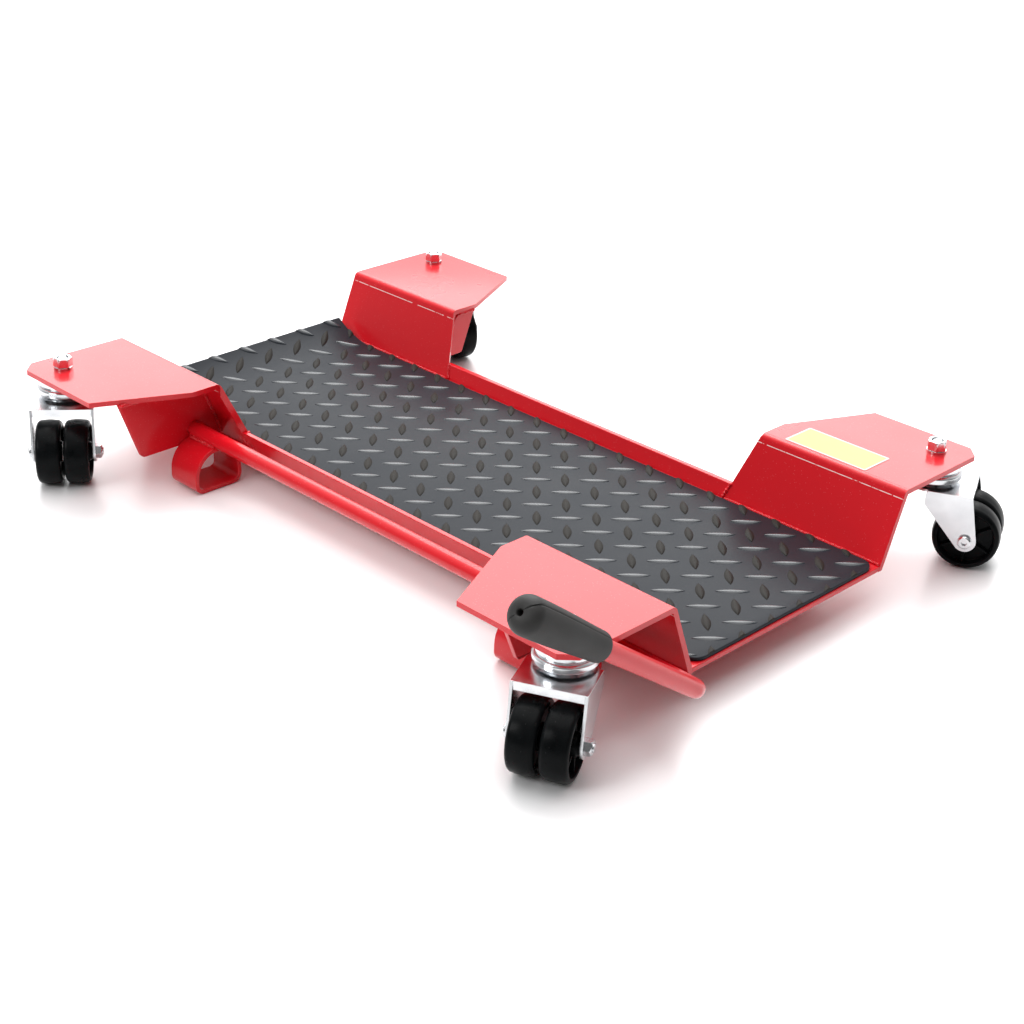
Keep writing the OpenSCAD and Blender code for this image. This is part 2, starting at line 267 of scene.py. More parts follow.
def speck_group():
    """Sparse small specks: Mask is 1 on a speck."""
    tree, entry, leave = group("specks", [("Scale", 1500.0), ("Cover", 0.1)], ["Mask"])
    place_node = tree.nodes.new("ShaderNodeTexCoord")
    cells = tree.nodes.new("ShaderNodeTexVoronoi")
    tree.links.new(place_node.outputs["Object"], cells.inputs["Vector"])
    tree.links.new(entry.outputs["Scale"], cells.inputs["Scale"])
    near = spread(tree, cells.outputs["Distance"], 0.18, 0.3, 1.0, 0.0)
    tone = tree.nodes.new("ShaderNodeSeparateColor")
    tree.links.new(cells.outputs["Color"], tone.inputs["Color"])
    chosen = math_node(tree, "LESS_THAN", tone.outputs["Red"], entry.outputs["Cover"])
    tree.links.new(math_node(tree, "MULTIPLY", near, chosen), leave.inputs["Mask"])
    return tree


GRAIN = grain_group()
SPECKS = speck_group()


# ---------------------------------------------------------------- materials

class Finish:
    """A material being built: its tree, its Principled shader and short ways to add to it."""

    def __init__(self, name, color, metallic=0.0, roughness=0.5):
        self.material = bpy.data.materials.new(name)
        self.material.use_nodes = True
        self.tree = self.material.node_tree
        self.shader = self.tree.nodes["Principled BSDF"]
        self.shader.inputs["Metallic"].default_value = metallic
        self.shader.inputs["Roughness"].default_value = roughness
        self.shader.inputs["Base Color"].default_value = (*color, 1)
        self.material.diffuse_color = (*color, 1)

    def set(self, **values):
        for name, value in values.items():
            self.shader.inputs[name.replace("_", " ")].default_value = value
        return self

    def add_group(self, tree, **values):
        node = self.tree.nodes.new("ShaderNodeGroup")
        node.node_tree = tree
        for name, value in values.items():
            node.inputs[name.replace("_", " ")].default_value = value
        return node

    def mix(self, mask, color_a, color_b):
        """Base colour from color_a, where mask is 0, to color_b. A colour may be a socket."""
        node = self.tree.nodes.new("ShaderNodeMix")
        node.data_type = "RGBA"
        colors = [s for s in node.inputs if s.type == "RGBA"]
        for socket, value in zip(colors, (color_a, color_b)):
            if isinstance(value, tuple):
                socket.default_value = (*value, 1)
            else:
                self.tree.links.new(value, socket)
        self.tree.links.new(mask, node.inputs[0])
        out = next(s for s in node.outputs if s.type == "RGBA")
        self.tree.links.new(out, self.shader.inputs["Base Color"])
        return out

    def rough(self, source, low, high):
        self.tree.links.new(spread(self.tree, source, 0, 1, low, high), self.shader.inputs["Roughness"])

    def bump(self, height, strength, distance):
        node = self.tree.nodes.new("ShaderNodeBump")
        node.inputs["Strength"].default_value = strength
        node.inputs["Distance"].default_value = distance
        self.tree.links.new(height, node.inputs["Height"])
        self.tree.links.new(node.outputs["Normal"], self.shader.inputs["Normal"])


def painted_highlight_line(finish, height, half):
    """1 on a broken, fine line round the part at that height: a painted highlight where the bend catches the
    light.
    """
    where = finish.tree.nodes.new("ShaderNodeTexCoord")
    split = finish.tree.nodes.new("ShaderNodeSeparateXYZ")
    finish.tree.links.new(where.outputs["Object"], split.inputs["Vector"])
    offset = math_node(finish.tree, "SUBTRACT", split.outputs["Z"], height)
    near = spread(finish.tree, math_node(finish.tree, "ABSOLUTE", offset), half * 0.5, half, 1.0, 0.0)
    patches = noise_node(finish.tree, 130.0, 3.0, 0.7)
    finish.tree.links.new(where.outputs["Object"], patches.inputs["Vector"])
    kept = spread(finish.tree, patches.outputs["Fac"], 0.40, 0.47)
    facing = finish.tree.nodes.new("ShaderNodeSeparateXYZ")
    finish.tree.links.new(where.outputs["Normal"], facing.inputs["Vector"])
    face = math_node(finish.tree, "LESS_THAN", math_node(finish.tree, "ABSOLUTE", facing.outputs["X"]), 0.2)
    return math_node(finish.tree, "MULTIPLY", math_node(finish.tree, "MULTIPLY", near, kept), face)


def red_powder_coat(name, painted_bend_highlight=False):
    finish = Finish(name, (0.64, 0.005, 0.012), roughness=0.3)
    finish.set(Coat_Weight=0.6, Coat_Roughness=0.08, Coat_IOR=1.36, IOR=1.33)
    grain = finish.add_group(GRAIN, Fine_Scale=780.0, Broad_Scale=9.0)
    specks = finish.add_group(SPECKS, Scale=900.0, Cover=0.10)
    body = finish.mix(grain.outputs["Cloud"], (0.64, 0.006, 0.014), (0.58, 0.004, 0.011))
    # pale pink specks mixed into the red are painted glints of light on the coat
    painted_glints = math_node(finish.tree, "MULTIPLY", specks.outputs["Mask"], 0.26)
    with_painted_glints = finish.mix(painted_glints, body, (0.85, 0.3, 0.31))
    # the brackets' walls get a pale painted highlight line below the bend
    if painted_bend_highlight:
        finish.mix(painted_highlight_line(finish, BRACKET_TOP - HIGHLIGHT_LINE_DROP, 0.36 * MM), with_painted_glints, (0.86, 0.70, 0.68))
    finish.rough(grain.outputs["Cloud"], 0.26, 0.36)
    height = math_node(finish.tree, "ADD", grain.outputs["Height"],
                       math_node(finish.tree, "MULTIPLY", specks.outputs["Mask"], 0.5))
    finish.bump(height, 0.34, 0.12 * MM)
    return finish.material


def bright_zinc():
    finish = Finish("bright zinc plate", (0.80, 0.82, 0.84), metallic=1.0, roughness=0.2)
    grain = finish.add_group(GRAIN, Fine_Scale=260.0, Broad_Scale=45.0)
    finish.mix(grain.outputs["Cloud"], (0.78, 0.79, 0.805), (0.62, 0.635, 0.655))
    finish.rough(grain.outputs["Height"], 0.14, 0.3)
    finish.bump(grain.outputs["Height"], 0.1, 0.08 * MM)
    return finish.material


def polished_steel():
    finish = Finish("polished ball steel", (0.75, 0.75, 0.76), metallic=1.0, roughness=0.12)
    grain = finish.add_group(GRAIN, Fine_Scale=1500.0, Broad_Scale=200.0)
    finish.mix(grain.outputs["Cloud"], (0.78, 0.78, 0.79), (0.66, 0.66, 0.67))
    finish.rough(grain.outputs["Cloud"], 0.08, 0.18)
    return finish.material


def mat_rubber(name, dark, light, roughness, specular):
    finish = Finish(name, light, roughness=roughness)
    finish.set(Specular_IOR_Level=specular)
    grain = finish.add_group(GRAIN, Fine_Scale=1500.0, Broad_Scale=22.0)
    dust = finish.add_group(SPECKS, Scale=700.0, Cover=0.04)
    body = finish.mix(grain.outputs["Cloud"], dark, light)
    finish.mix(math_node(finish.tree, "MULTIPLY", dust.outputs["Mask"], 0.2), body, (0.12, 0.12, 0.12))
    finish.rough(grain.outputs["Cloud"], roughness - 0.04, roughness + 0.05)
    finish.bump(grain.outputs["Height"], 0.2, 0.1 * MM)
    return finish.material


def grip_rubber():
    finish = Finish("moulded grip rubber", (0.03, 0.029, 0.028), roughness=0.6)
    finish.set(Specular_IOR_Level=0.3)
    grain = finish.add_group(GRAIN, Fine_Scale=1900.0, Broad_Scale=60.0)
    finish.mix(grain.outputs["Cloud"], (0.016, 0.0155, 0.015), (0.030, 0.029, 0.028))
    finish.rough(grain.outputs["Cloud"], 0.5, 0.66)
    finish.bump(grain.outputs["Height"], 0.35, 0.12 * MM)
    return finish.material


def wheel_plastic():
    finish = Finish("black wheel plastic", (0.004, 0.0045, 0.005), roughness=0.3)
    finish.set(Specular_IOR_Level=0.06)
    grain = finish.add_group(GRAIN, Fine_Scale=1300.0, Broad_Scale=70.0)
    dust = finish.add_group(SPECKS, Scale=900.0, Cover=0.03)
    body = finish.mix(grain.outputs["Cloud"], (0.002, 0.0024, 0.0027), (0.005, 0.006, 0.0065))
    finish.mix(math_node(finish.tree, "MULTIPLY", dust.outputs["Mask"], 0.3), body, (0.1, 0.1, 0.1))
    finish.rough(grain.outputs["Cloud"], 0.24, 0.36)
    finish.bump(grain.outputs["Height"], 0.12, 0.06 * MM)
    return finish.material


def label_film():
    """Pale yellow film with a white margin, on Object coordinates; it carries no lettering."""
    finish = Finish("blank label film", (0.9, 0.8, 0.3), roughness=0.3)
    finish.set(Specular_IOR_Level=0.2)
    margin = 1.6 * MM
    where = finish.tree.nodes.new("ShaderNodeTexCoord")
    split = finish.tree.nodes.new("ShaderNodeSeparateXYZ")
    finish.tree.links.new(where.outputs["Object"], split.inputs["Vector"])
    inside = None
    for axis, name in ((0, "X"), (1, "Y")):
        centre = (label_low[axis] + label_high[axis]) / 2
        half = (label_high[axis] - label_low[axis]) / 2 - margin
        offset = math_node(finish.tree, "SUBTRACT", split.outputs[name], centre)
        away = math_node(finish.tree, "ABSOLUTE", offset)
        within = math_node(finish.tree, "LESS_THAN", away, half)
        inside = within if inside is None else math_node(finish.tree, "MULTIPLY", inside, within)
    grain = finish.add_group(GRAIN, Fine_Scale=900.0, Broad_Scale=30.0)
    yellow = finish.mix(grain.outputs["Cloud"], (0.50, 0.49, 0.19), (0.47, 0.46, 0.18))
    finish.mix(inside, (0.56, 0.55, 0.52), yellow)
    finish.bump(grain.outputs["Height"], 0.05, 0.05 * MM)
    return finish.material


RED = red_powder_coat("red powder coat")
RED_WITH_HIGHLIGHT_LINE = red_powder_coat("red powder coat, painted bend highlight", painted_bend_highlight=True)
ZINC = bright_zinc()
BALLS = polished_steel()
MAT = mat_rubber("mat rubber", (0.0085, 0.0115, 0.0165), (0.0135, 0.0172, 0.023), 0.42, 0.125)
# lit and shaded copies of the mat rubber: the treads along are painted lighter and bluer as if lit, the treads
# across darker and browner as if in shade
MAT_TREADS_PAINTED_LIT = mat_rubber("mat rubber, treads painted lit", (0.012, 0.017, 0.023), (0.020, 0.025, 0.031),
                          0.19, 0.62)
MAT_TREADS_PAINTED_SHADE = mat_rubber("mat rubber, treads painted shaded", (0.015, 0.014, 0.012), (0.024, 0.022, 0.019), 0.5, 0.08)
GRIP = grip_rubber()
WHEEL = wheel_plastic()
LABEL = label_film()


# ---------------------------------------------------------------- geometry node helpers

def geometry_tree(name, inputs=()):
    tree = bpy.data.node_groups.new(name, "GeometryNodeTree")
    tree.interface.new_socket("Geometry", in_out="INPUT", socket_type="NodeSocketGeometry")
    for label, kind, default in inputs:
        socket = tree.interface.new_socket(label, in_out="INPUT", socket_type=kind)
        socket.default_value = default
    tree.interface.new_socket("Geometry", in_out="OUTPUT", socket_type="NodeSocketGeometry")
    return tree, tree.nodes.new("NodeGroupInput"), tree.nodes.new("NodeGroupOutput")


def grown(name, start_mesh, tree, **inputs):
    """Runs a geometry tree on a mesh and returns the plain result."""
    piece = new_object(name, start_mesh)
    mod = piece.modifiers.new("grow", "NODES")
    mod.node_group = tree
    for item in tree.interface.items_tree:
        if item.item_type == "SOCKET" and item.in_out == "INPUT" and item.name in inputs:
            mod[item.identifier] = inputs[item.name]
    return settle(piece)


def realize_and_paint(tree, copies, material, leave):
    """The end of a tree of instances: real geometry with a material."""
    real = tree.nodes.new("GeometryNodeRealizeInstances")
    tree.links.new(copies.outputs[0], real.inputs[0])
    paint = tree.nodes.new("GeometryNodeSetMaterial")
    paint.inputs["Material"].default_value = material
    tree.links.new(real.outputs[0], paint.inputs["Geometry"])
    tree.links.new(paint.outputs[0], leave.inputs[0])


def tread_tree():
    """Almond treads with a rounded crest, all turned by Turn, on a lattice of Columns by Rows points."""
    tree, entry, leave = geometry_tree("almond treads", [
        ("Half Length", "NodeSocketFloat", 0.0125), ("Half Width", "NodeSocketFloat", 0.003),
        ("Height", "NodeSocketFloat", 0.0013), ("Pitch X", "NodeSocketFloat", 0.03),
        ("Pitch Y", "NodeSocketFloat", 0.03), ("Turn", "NodeSocketFloat", 0.785),
        ("Columns", "NodeSocketInt", 20), ("Rows", "NodeSocketInt", 8)])
    link = tree.links.new
    ball = tree.nodes.new("GeometryNodeMeshUVSphere")
    ball.inputs["Segments"].default_value = 12
    ball.inputs["Rings"].default_value = 18
    ball.inputs["Radius"].default_value = 1.0
    turn_ball = tree.nodes.new("GeometryNodeTransform")
    turn_ball.inputs["Rotation"].default_value = (0, math.pi / 2, 0)
    link(ball.outputs["Mesh"], turn_ball.inputs["Geometry"])
    position = tree.nodes.new("GeometryNodeInputPosition")
    split = tree.nodes.new("ShaderNodeSeparateXYZ")
    link(position.outputs[0], split.inputs[0])
    square = math_node(tree, "MULTIPLY", split.outputs["X"], split.outputs["X"])
    taper = math_node(tree, "SQRT", math_node(tree, "MAXIMUM", math_node(tree, "SUBTRACT", 1.0, square), 0.0))
    joined = tree.nodes.new("ShaderNodeCombineXYZ")
    link(math_node(tree, "MULTIPLY", split.outputs["X"], entry.outputs["Half Length"]), joined.inputs["X"])
    side = math_node(tree, "MULTIPLY", split.outputs["Y"], entry.outputs["Half Width"])
    link(math_node(tree, "MULTIPLY", side, taper), joined.inputs["Y"])
    away = math_node(tree, "DIVIDE", math_node(tree, "ABSOLUTE", split.outputs["Y"]),
                     math_node(tree, "MAXIMUM", taper, 0.02))
    away = math_node(tree, "MINIMUM", away, 1.0)
    ridge = math_node(tree, "SUBTRACT", 1.0, math_node(tree, "POWER", away, 2.0))
    crest = math_node(tree, "MULTIPLY", math_node(tree, "MULTIPLY", ridge, taper),
                      math_node(tree, "SIGN", split.outputs["Z"]))
    rise = math_node(tree, "MULTIPLY", crest, entry.outputs["Height"])
    link(rise, joined.inputs["Z"])
    shape = tree.nodes.new("GeometryNodeSetPosition")
    link(turn_ball.outputs[0], shape.inputs["Geometry"])
    link(joined.outputs[0], shape.inputs["Position"])
    lattice = tree.nodes.new("GeometryNodeMeshGrid")
    link(entry.outputs["Columns"], lattice.inputs["Vertices X"])
    link(entry.outputs["Rows"], lattice.inputs["Vertices Y"])
    for count, axis in (("Columns", "X"), ("Rows", "Y")):
        gaps = math_node(tree, "SUBTRACT", entry.outputs[count], 1.0)
        link(math_node(tree, "MULTIPLY", gaps, entry.outputs["Pitch " + axis]), lattice.inputs["Size " + axis])
    turned = tree.nodes.new("ShaderNodeCombineXYZ")
    link(entry.outputs["Turn"], turned.inputs["Z"])
    spin = tree.nodes.new("FunctionNodeEulerToRotation")
    link(turned.outputs[0], spin.inputs[0])
    copies = tree.nodes.new("GeometryNodeInstanceOnPoints")
    link(lattice.outputs["Mesh"], copies.inputs["Points"])
    link(shape.outputs[0], copies.inputs["Instance"])
    link(spin.outputs[0], copies.inputs["Rotation"])
    realize_and_paint(tree, copies, MAT, leave)
    return tree


def bead_tree():
    """A weld bead along each edge path: overlapping flattened drops of that Radius, one per Step."""
    tree, entry, leave = geometry_tree("weld beads", [
        ("Step", "NodeSocketFloat", 0.0022), ("Radius", "NodeSocketFloat", 0.0026),
        ("Seed", "NodeSocketInt", 3)])
    link = tree.links.new
    path = tree.nodes.new("GeometryNodeMeshToCurve")
    link(entry.outputs["Geometry"], path.inputs["Mesh"])
    points = tree.nodes.new("GeometryNodeCurveToPoints")
    points.mode = "LENGTH"
    link(path.outputs[0], points.inputs["Curve"])
    link(entry.outputs["Step"], points.inputs["Length"])
    drop = tree.nodes.new("GeometryNodeMeshUVSphere")
    drop.inputs["Segments"].default_value = 12
    drop.inputs["Rings"].default_value = 7
    link(entry.outputs["Radius"], drop.inputs["Radius"])
    flat = tree.nodes.new("GeometryNodeTransform")
    flat.inputs["Scale"].default_value = (1, 1, 0.72)
    link(drop.outputs["Mesh"], flat.inputs["Geometry"])
    size = tree.nodes.new("FunctionNodeRandomValue")
    size.data_type = "FLOAT"
    floats = [s for s in size.inputs if s.type == "VALUE"]
    floats[0].default_value = 0.8
    floats[1].default_value = 1.12
    link(entry.outputs["Seed"], size.inputs["Seed"])
    number = next(s for s in size.outputs if s.type == "VALUE" and s.enabled)
    copies = tree.nodes.new("GeometryNodeInstanceOnPoints")
    link(points.outputs["Points"], copies.inputs["Points"])
    link(flat.outputs[0], copies.inputs["Instance"])
    link(points.outputs["Rotation"], copies.inputs["Rotation"])
    link(number, copies.inputs["Scale"])
    realize_and_paint(tree, copies, RED, leave)
    return tree


def beads(name, paths, radius, seed):
    """One weld bead along each path, a list of points."""
    mesh = bpy.data.meshes.new(name)
    verts = []
    edges = []
    for path in paths:
        edges += [(len(verts) + i, len(verts) + i + 1) for i in range(len(path) - 1)]
        verts += [tuple(p) for p in path]
    mesh.from_pydata(verts, edges, [])
    return smooth(grown(name, mesh, bead_tree(), Step=radius * 0.85, Radius=radius, Seed=seed), 60)


# ---------------------------------------------------------------- rubber mat

TREAD_PITCH_X = 30.14 * MM
TREAD_PITCH_Y = 31.0 * MM
TREAD_HALF_L = 11.8 * MM
TREAD_HALF_W = 3.3 * MM
TREAD_H = 1.35 * MM
# one tread of each direction, from which its lattice is counted
ACROSS_TREAD = (-4.7 * MM, -0.3 * MM)
ALONG_TREAD = (ACROSS_TREAD[0] + TREAD_PITCH_X / 2, ACROSS_TREAD[1] + TREAD_PITCH_Y / 2)
CURL_FROM_X = -244 * MM
CURL_PER_M = 11.6
CURL_TWIST = 1.4
ROW_BOW = 0.1


def rounded_rectangle(half_l, half_w, r, left_r=None, steps=8):
    outline = []
    for sx, sy, a in ((1, 1, 0), (-1, 1, 90), (-1, -1, 180), (1, -1, 270)):
        corner_r = r if sx > 0 or left_r is None else left_r
        outline += arc(sx * (half_l - corner_r), sy * (half_w - corner_r), corner_r, a, a + 90, steps)
    return outline


def mat_slab():
    half_l = mat_high.x
    half_w = mat_high.y
    outline = rounded_rectangle(half_l, half_w, 11 * MM, 1.5 * MM)
    slab = prism("mat slab", outline, mat_low.z, mat_high.z)
    work = bmesh.new()
    work.from_mesh(slab.data)
    for i in range(24):
        x = -half_l + (i + 1) * 2.4 * MM
        bmesh.ops.bisect_plane(work, geom=work.verts[:] + work.edges[:] + work.faces[:],
                               plane_co=(x, 0, 0), plane_no=(1, 0, 0))
    work.to_mesh(slab.data)
    work.free()
    bevel(slab, 0.7 * MM, 2, 60)
    return settle(slab)


def lattice_treads(name, tree, at, turn):
    """All treads of one direction, cut off square at the mat's edges."""
    settings = {"Half Length": TREAD_HALF_L, "Half Width": TREAD_HALF_W, "Height": TREAD_H, "Turn": turn,
                "Pitch X": TREAD_PITCH_X, "Pitch Y": TREAD_PITCH_Y, "Columns": 23, "Rows": 9}
    treads = grown(name, bpy.data.meshes.new(name), tree, **settings)
    place(treads, Matrix.Translation((at[0], at[1], mat_high.z - 0.1 * MM)))
    for vert in treads.data.vertices:
        vert.co.y += ROW_BOW * (vert.co.x - ACROSS_TREAD[0]) ** 2
    work = bmesh.new()
    work.from_mesh(treads.data)
    inset = 0.05 * MM
    cuts = [((mat_high.x - inset, 0, 0), (1, 0, 0)), ((mat_low.x + inset, 0, 0), (-1, 0, 0)),
            ((0, mat_high.y - inset, 0), (0, 1, 0)), ((0, mat_low.y + inset, 0), (0, -1, 0)),
            ((0, 0, mat_high.z - 0.4 * MM), (0, 0, -1))]
    for point, away in cuts:
        cut = bmesh.ops.bisect_plane(work, geom=work.verts[:] + work.edges[:] + work.faces[:],
                                     plane_co=point, plane_no=away, clear_outer=True)
        open_edges = [e for e in cut["geom_cut"] if isinstance(e, bmesh.types.BMEdge)]
        bmesh.ops.holes_fill(work, edges=open_edges, sides=0)
    corner_x = mat_high.x - 4 * MM
    corner_y = mat_high.y - 4 * MM
    beyond = [v for v in work.verts if abs(v.co.x) > corner_x and abs(v.co.y) > corner_y]
    bmesh.ops.delete(work, geom=beyond, context="VERTS")
    work.to_mesh(treads.data)
    work.free()
    return treads


def curl_left_end(piece):
    """Rolls the mat's left end up off the tray on a circular arc, a little tighter towards +Y."""
    for vert in piece.data.vertices:
        s = CURL_FROM_X - vert.co.x
        if s <= 0:
            continue
        bend = CURL_PER_M + CURL_TWIST * vert.co.y / mat_high.y
        lean = bend * s
        up = vert.co.z - mat_low.z
        vert.co.x = CURL_FROM_X - math.sin(lean) / bend + math.sin(lean) * up
        vert.co.z = mat_low.z + (1 - math.cos(lean)) / bend + math.cos(lean) * up


def ribbed_mat():
    tree = tread_tree()
    along = lattice_treads("treads along", tree, ALONG_TREAD, math.radians(45))
    across = lattice_treads("treads across", tree, ACROSS_TREAD, math.radians(-45))
    for index, treads in ((1, along), (2, across)):
        treads.data.polygons.foreach_set("material_index", [index] * len(treads.data.polygons))
    mat = join_meshes("ribbed_mat", [mat_slab(), along, across])
    curl_left_end(mat)
    smooth(mat, 40)
    kinds = [face.material_index for face in mat.data.polygons]
    finish_piece(mat, "frame", "mat_rubber", MAT, "rubber_mat")
    # the treads along take the painted-lit copy, the treads across the painted-shade copy
    mat.data.materials.append(MAT_TREADS_PAINTED_LIT)
    mat.data.materials.append(MAT_TREADS_PAINTED_SHADE)
    mat.data.polygons.foreach_set("material_index", kinds)
    return mat


# ---------------------------------------------------------------- steelwork

def steelwork():
    red_nodes = {"deck_tray": 0.7 * MM}
    for corner in CORNERS:
        red_nodes["bracket_" + corner] = 0.7 * MM
        red_nodes["gusset_" + corner] = 0.5 * MM
    for node, width in red_nodes.items():
        material = RED_WITH_HIGHLIGHT_LINE if node.startswith("bracket") else RED
        finish_piece(softened(node, width, 3), "frame", "red_paint", material, node)
    for node in ("brake_foot_left", "brake_foot_right"):
        finish_piece(softened(node, 0.6 * MM, 3, 40), "brake_lever", "red_paint", RED, node)


FLANGE_TOP = tray_high.z
DECK_TOP = mat_low.z


def wall_line(z):
    """Y of the inclined wall's inner face at height z, on the +Y side."""
    return WALL_FOOT_Y + WALL_RUN * (z - tray_low.z) / (BRACKET_TOP - tray_low.z)


def frame_welds():
    """Beads where the brackets meet the tray and its flanges, and round the gussets."""
    seam_paths = []
    fine_paths = []
    end_x = tray_high.x - 2 * MM
    for sx in (-1, 1):
        for sy in (-1, 1):
            foot_z = DECK_TOP + 0.6 * MM
            seam_paths.append([(sx * (WALL_END_X + 4 * MM), sy * (wall_line(foot_z) - 0.3 * MM), foot_z),
                               (sx * end_x, sy * (wall_line(foot_z) - 0.3 * MM), foot_z)])
            low_z = tray_low.z + 1 * MM
            out = wall_line(low_z) + 4.6 * MM
            seam_paths.append([(sx * (WALL_END_X + 6 * MM), sy * out, low_z), (sx * end_x, sy * out, low_z)])
            end_z = DECK_TOP + 2 * MM
            fine_paths.append([
                (sx * (WALL_END_X + 1.0 * MM), sy * (wall_line(end_z) - 0.1 * MM), end_z),
                (sx * (WALL_END_X + 4.6 * MM), sy * (wall_line(FLANGE_TOP) - 0.1 * MM), FLANGE_TOP - 0.5 * MM)])
    for corner in CORNERS:
        low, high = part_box("gusset_" + corner)
        sy = 1 if low.y > 0 else -1
        inner = min(abs(low.y), abs(high.y))
        outer = max(abs(low.y), abs(high.y))
        for x in (low.x - 0.4 * MM, high.x + 0.4 * MM):
            top_z = high.z - 0.6 * MM
            lean_y = wall_line(high.z - 9 * MM) + 4.9 * MM
            fine_paths.append([(x, sy * (inner + 1 * MM), low.z + 2 * MM), (x, sy * lean_y, high.z - 9 * MM)])
            fine_paths.append([(x, sy * (lean_y + 8 * MM), top_z), (x, sy * (outer - 2 * MM), top_z)])
    seams = beads("seam beads", seam_paths, 1.5 * MM, 3)
    fillets = beads("fillet beads", fine_paths, 1.6 * MM, 5)
    return finish_piece(join_meshes("frame_weld_beads", [seams, fillets]), "frame", "red_paint", RED)


def brake_welds():
    paths = []
    for node in ("brake_foot_left", "brake_foot_right"):
        low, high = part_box(node)
        for side in (-1, 1):
            y = shaft_axis.y + side * 5.4 * MM
            z = shaft_axis.z - 4.0 * MM
            paths.append([(low.x + 2 * MM, y, z), (high.x - 2 * MM, y, z)])
    return finish_piece(beads("brake_weld_beads", paths, 1.7 * MM, 8), "brake_lever", "red_paint", RED)


# ---------------------------------------------------------------- brake shaft and grip

shaft_low, shaft_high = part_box("brake_shaft")
SHAFT_R = 6.25 * MM
LEVER_X = shaft_high.x - SHAFT_R
LEVER_BEND_R = 12 * MM
LEVER_ANGLE = math.radians(35.8)
LEVER_L = 202 * MM
GRIP_L = 81 * MM
LEVER_DIR = Vector((0, -math.cos(LEVER_ANGLE), math.sin(LEVER_ANGLE)))


def swept_rod(name, points, radius, sides=40):
    """A round rod along points, with slightly rounded ends."""
    steps = []
    first = (points[0] - points[1]).normalized()
    last = (points[-1] - points[-2]).normalized()
    round_r = 1.2 * MM
    for a in (90, 60, 30):
        t = math.radians(a)
        steps.append((points[0] + first * round_r * (math.sin(t) - 1), radius - round_r * (1 - math.cos(t))))
    steps += [(p, radius) for p in points[1:-1]]
    for a in (30, 60, 90):
        t = math.radians(a)
        steps.append((points[-1] + last * round_r * (math.sin(t) - 1), radius - round_r * (1 - math.cos(t))))
    verts = []
    faces = []
    across = Vector((0, 1, 0)).cross(first).normalized()
    count = len(steps)
    for k, (centre, r) in enumerate(steps):
        ahead = steps[min(k + 1, count - 1)][0] - steps[max(k - 1, 0)][0]
        ahead.normalize()
        across = (across - ahead * across.dot(ahead)).normalized()
        other = ahead.cross(across)
        for i in range(sides):
            a = 2 * math.pi * i / sides
            verts.append(centre + (across * math.cos(a) + other * math.sin(a)) * r)
    for k in range(count - 1):
        faces += band(k, k + 1, sides)
    faces.append(tuple(range(sides)))
    faces.append(tuple((count - 1) * sides + i for i in range(sides)))
    return face_outwards(object_from(name, verts, faces), 1e-7)


def brake_rod():
    start = Vector((shaft_low.x, shaft_axis.y, shaft_axis.z))
    before_bend = Vector((LEVER_X - LEVER_BEND_R, shaft_axis.y, shaft_axis.z))
    centre = before_bend + LEVER_DIR * LEVER_BEND_R
    points = [start, start + Vector((4 * MM, 0, 0))]
    for i in range(13):
        a = math.radians(90 * i / 12)
        sideways = Vector((math.sin(a), 0, 0)) * LEVER_BEND_R
        points.append(centre + sideways - LEVER_DIR * LEVER_BEND_R * math.cos(a))
    corner = Vector((LEVER_X, shaft_axis.y, shaft_axis.z))
    points.append(corner + LEVER_DIR * (LEVER_L - 14 * MM))
    points.append(corner + LEVER_DIR * (LEVER_L - 10 * MM))
    rod = smooth(swept_rod("brake_rod", points, SHAFT_R), 40)
    return finish_piece(rod, "brake_lever", "red_paint", RED, "brake_shaft")


def rubber_grip():
    """A moulded grip, fatter at its tip, with an air hole and the mould's parting groove."""
    neck_r = 9.6 * MM
    tip_r = 11.8 * MM
    edge_r = 7.8 * MM
    hole_r = 2.1 * MM
    neck_edge = 1.6 * MM
    groove_half = 0.36 * MM
    groove_depth = 0.5 * MM
    outline = [(SHAFT_R, 0.4 * MM), (SHAFT_R + 0.8 * MM, 0)]
    outline += arc(neck_r - neck_edge, neck_edge, neck_edge, -90, 0, 4)
    for i in range(1, 9):
        t = i / 9
        swell = neck_r + (tip_r - neck_r) * math.sin(t * math.pi / 2) ** 1.2
        outline.append((swell, neck_edge + t * (GRIP_L - edge_r - neck_edge)))
    outline += arc(tip_r - edge_r, GRIP_L - edge_r, edge_r, 0, 84, 8)
    outline += [(hole_r + 0.5 * MM, GRIP_L - 0.1 * MM), (hole_r, GRIP_L - 0.6 * MM), (hole_r, GRIP_L - 6 * MM)]
    outline += [(SHAFT_R, GRIP_L - 7 * MM)]
    grip = lathe("rubber_grip", outline, 120)
    for vert in grip.data.vertices:
        radius = math.hypot(vert.co.x, vert.co.y)
        if radius < hole_r * 1.3:
            continue
        if abs(vert.co.y) < groove_half and vert.co.z > 1 * MM:
            vert.co.xy *= 1 - groove_depth / radius
            if vert.co.z > GRIP_L - edge_r:
                vert.co.z -= 0.45 * MM
    corner = Vector((LEVER_X, shaft_axis.y, shaft_axis.z))
    z_axis = LEVER_DIR
    # the parting plane is turned 50 degrees about the lever from the shaft's direction
    x_axis = Vector((0.643, 0, 0)) + z_axis.cross(Vector((1, 0, 0))) * 0.766
    x_axis.normalize()
    y_axis = z_axis.cross(x_axis)
    turn = Matrix((x_axis, y_axis, z_axis)).transposed().to_4x4()
    place(grip, Matrix.Translation(corner + LEVER_DIR * (LEVER_L - GRIP_L)) @ turn)
    smooth(grip, 50)
    return finish_piece(grip, "brake_lever", "grip_rubber", GRIP, "brake_grip")


# ---------------------------------------------------------------- casters

WHEEL_R = 25 * MM
AXLE_R = 3 * MM
THREAD_PITCH = 1.25 * MM
THREAD_DEPTH = 0.55 * MM


